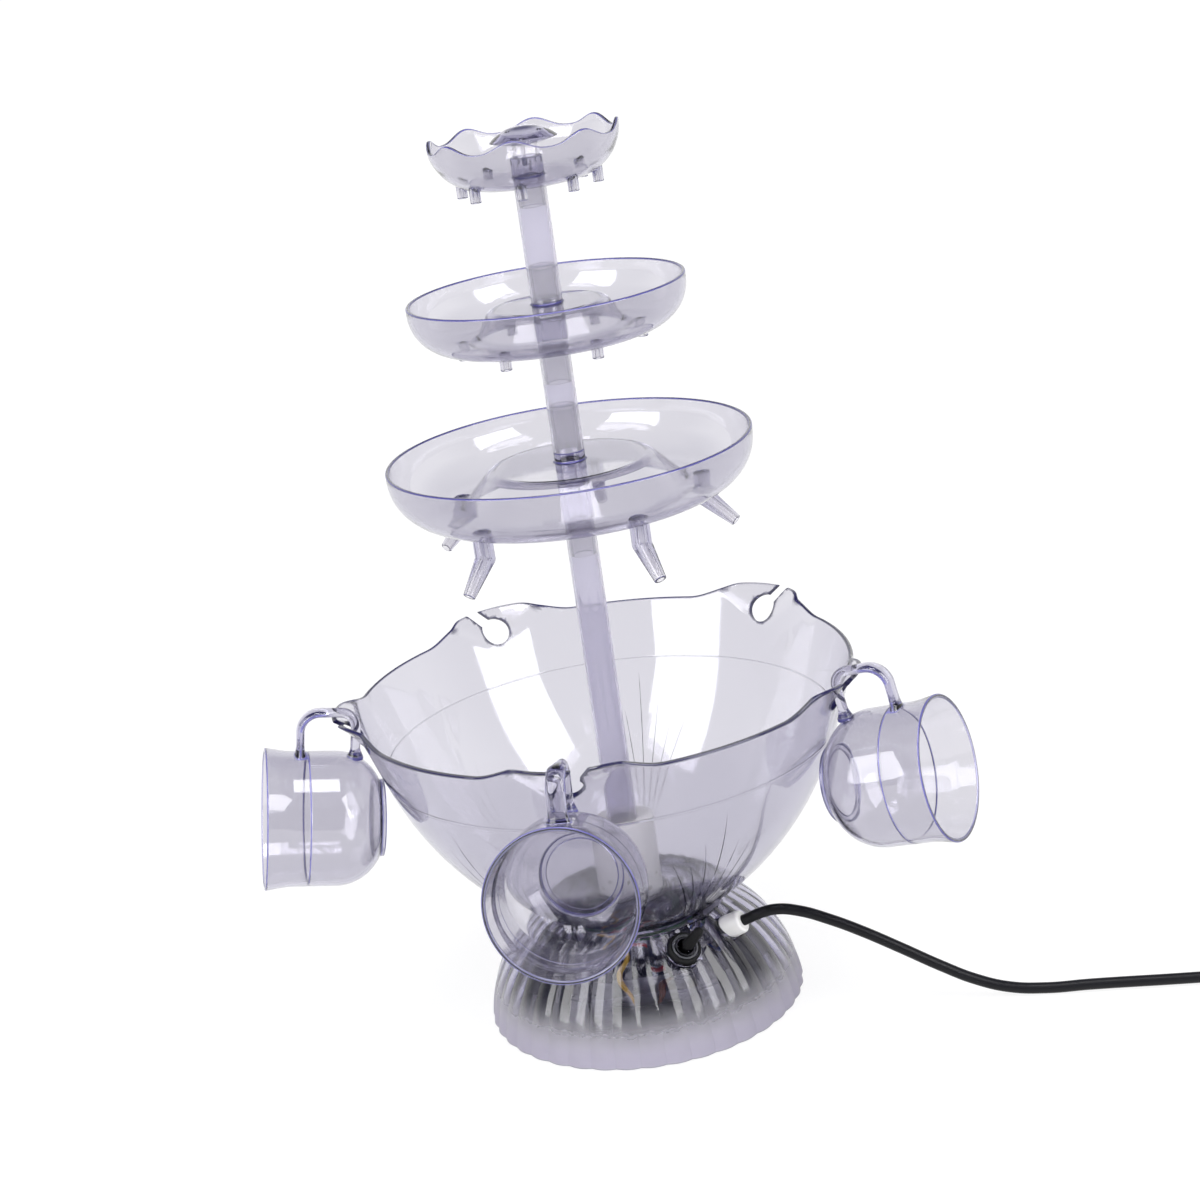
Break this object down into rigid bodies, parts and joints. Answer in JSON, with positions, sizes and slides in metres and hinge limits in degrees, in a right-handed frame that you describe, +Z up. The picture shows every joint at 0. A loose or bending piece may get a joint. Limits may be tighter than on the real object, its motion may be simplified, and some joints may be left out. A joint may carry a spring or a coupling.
{
  "type": "drinks fountain",
  "caption": "Tiered tabletop drinks fountain: lighted fluted base, notched clear bowl with hanging cups, and a pump tower that feeds stacked overflow dishes.",
  "frame": {"origin": "point on the table under the tower's axis", "axes": "+Z up along the tower, -Y towards the bowl's front hook, +X towards the side where the cord leaves"},
  "size_m": [0.6314, 0.3356, 0.489],
  "materials": {
    "clear_plastic": "clear, faintly lavender",
    "white_plastic": "moulded gloss",
    "black_plastic": "moulded satin",
    "grey_plastic": "moulded satin",
    "black_rubber": "matte",
    "cord_jacket": "satin vinyl",
    "bright_steel": "bright",
    "brass": "plain",
    "board": "lacquered",
    "lamp_epoxy": "diffused",
    "red_wire": "vinyl",
    "yellow_wire": "vinyl",
    "brown_wire": "vinyl",
    "blue_wire": "vinyl"
  },
  "bodies": {
    "base": {"base_shell": "clear_plastic", "base_plate": "grey_plastic", "rubber_feet": "black_rubber", "plate_screws": "bright_steel", "dark_panels": "black_plastic", "bowl": "clear_plastic", "shaft_seal": "black_rubber", "motor_can": "bright_steel", "motor_end_cap": "black_plastic", "motor_bracket": "bright_steel", "motor_screws": "bright_steel", "light_board": "board", "lamps": "lamp_epoxy", "transformer_core": "bright_steel", "transformer_coil": "black_plastic", "switch_body": "black_plastic", "switch_terminals": "brass", "switch_frame": "bright_steel", "switch_bushing": "bright_steel", "switch_washer": "grey_plastic", "switch_collar": "black_rubber", "wire_red": "red_wire", "wire_yellow": "yellow_wire", "wire_brown": "brown_wire", "wire_blue": "blue_wire", "cord_bush": "white_plastic", "power_cord": "cord_jacket", "cord_coil": "cord_jacket", "cord_tie": "black_plastic", "plug_body": "black_plastic", "plug_pins": "brass"},
    "drive": {"drive_shaft": "bright_steel", "impeller": "white_plastic"},
    "toggle": {"toggle_lever": "black_rubber"},
    "pump_cover": {"pump_cover": "white_plastic"},
    "lower_tube": {"lower_tube": "clear_plastic"},
    "large_tier": {"large_tier": "clear_plastic"},
    "spout_1": {"spout_1": "clear_plastic"},
    "spout_2": {"spout_2": "clear_plastic"},
    "spout_3": {"spout_3": "clear_plastic"},
    "spout_4": {"spout_4": "clear_plastic"},
    "spout_5": {"spout_5": "clear_plastic"},
    "middle_tube": {"middle_tube": "clear_plastic"},
    "middle_tier": {"middle_tier": "clear_plastic"},
    "upper_tube": {"upper_tube": "clear_plastic"},
    "crown": {"crown": "clear_plastic"},
    "crown_cap": {"crown_cap": "clear_plastic"},
    "cup_left": {"cup_left": "clear_plastic"},
    "cup_front": {"cup_front": "clear_plastic"},
    "cup_right": {"cup_right": "clear_plastic"}
  },
  "joints": [
    {"name": "pump_drive", "type": "hinge", "parent": "base", "child": "drive", "pos_m": [0, 0, 0.07], "axis": [0, 0, 1], "continuous": true},
    {"name": "toggle_throw", "type": "hinge", "parent": "base", "child": "toggle", "pos_m": [0.03285, -0.05468, 0.05303], "axis": [0.3767, -0.6269, -0.682], "range_deg": [0, 24]},
    {"name": "pump_cover_lift", "type": "slide", "parent": "base", "child": "pump_cover", "axis": [0, 0, 1], "range_m": [0, 0.05]},
    {"name": "lower_tube_lift", "type": "slide", "parent": "pump_cover", "child": "lower_tube", "axis": [0, 0, 1], "range_m": [0, 0.02]},
    {"name": "large_tier_lift", "type": "slide", "parent": "lower_tube", "child": "large_tier", "axis": [0, 0, 1], "range_m": [0, 0.03]},
    {"name": "middle_tube_lift", "type": "slide", "parent": "large_tier", "child": "middle_tube", "axis": [0, 0, 1], "range_m": [0, 0.035]},
    {"name": "middle_tier_lift", "type": "slide", "parent": "middle_tube", "child": "middle_tier", "axis": [0, 0, 1], "range_m": [0, 0.03]},
    {"name": "upper_tube_lift", "type": "slide", "parent": "middle_tier", "child": "upper_tube", "axis": [0, 0, 1], "range_m": [0, 0.03]},
    {"name": "crown_lift", "type": "slide", "parent": "upper_tube", "child": "crown", "axis": [0, 0, 1], "range_m": [0, 0.025]},
    {"name": "crown_cap_lift", "type": "slide", "parent": "crown", "child": "crown_cap", "axis": [0, 0, 1], "range_m": [0, 0.012]},
    {"name": "spout_1_swivel", "type": "hinge", "parent": "large_tier", "child": "spout_1", "pos_m": [0.04056, -0.05582, 0.281], "axis": [0, 0, 1], "range_deg": [-90, 90]},
    {"name": "spout_2_swivel", "type": "hinge", "parent": "large_tier", "child": "spout_2", "pos_m": [0.06562, 0.02132, 0.281], "axis": [0, 0, 1], "range_deg": [-90, 90]},
    {"name": "spout_3_swivel", "type": "hinge", "parent": "large_tier", "child": "spout_3", "pos_m": [0, 0.069, 0.281], "axis": [0, 0, 1], "range_deg": [-90, 90]},
    {"name": "spout_4_swivel", "type": "hinge", "parent": "large_tier", "child": "spout_4", "pos_m": [-0.06562, 0.02132, 0.281], "axis": [0, 0, 1], "range_deg": [-90, 90]},
    {"name": "spout_5_swivel", "type": "hinge", "parent": "large_tier", "child": "spout_5", "pos_m": [-0.04056, -0.05582, 0.281], "axis": [0, 0, 1], "range_deg": [-90, 90]},
    {"name": "cup_left_unhook", "type": "slide", "parent": "base", "child": "cup_left", "axis": [-0.2977, -0.6694, 0.6807], "range_m": [0, 0.045]},
    {"name": "cup_front_unhook", "type": "slide", "parent": "base", "child": "cup_front", "axis": [0.5446, -0.49, 0.6807], "range_m": [0, 0.045]},
    {"name": "cup_right_unhook", "type": "slide", "parent": "base", "child": "cup_right", "axis": [0.2977, -0.6694, 0.6807], "range_m": [0, 0.045]}
  ]
}
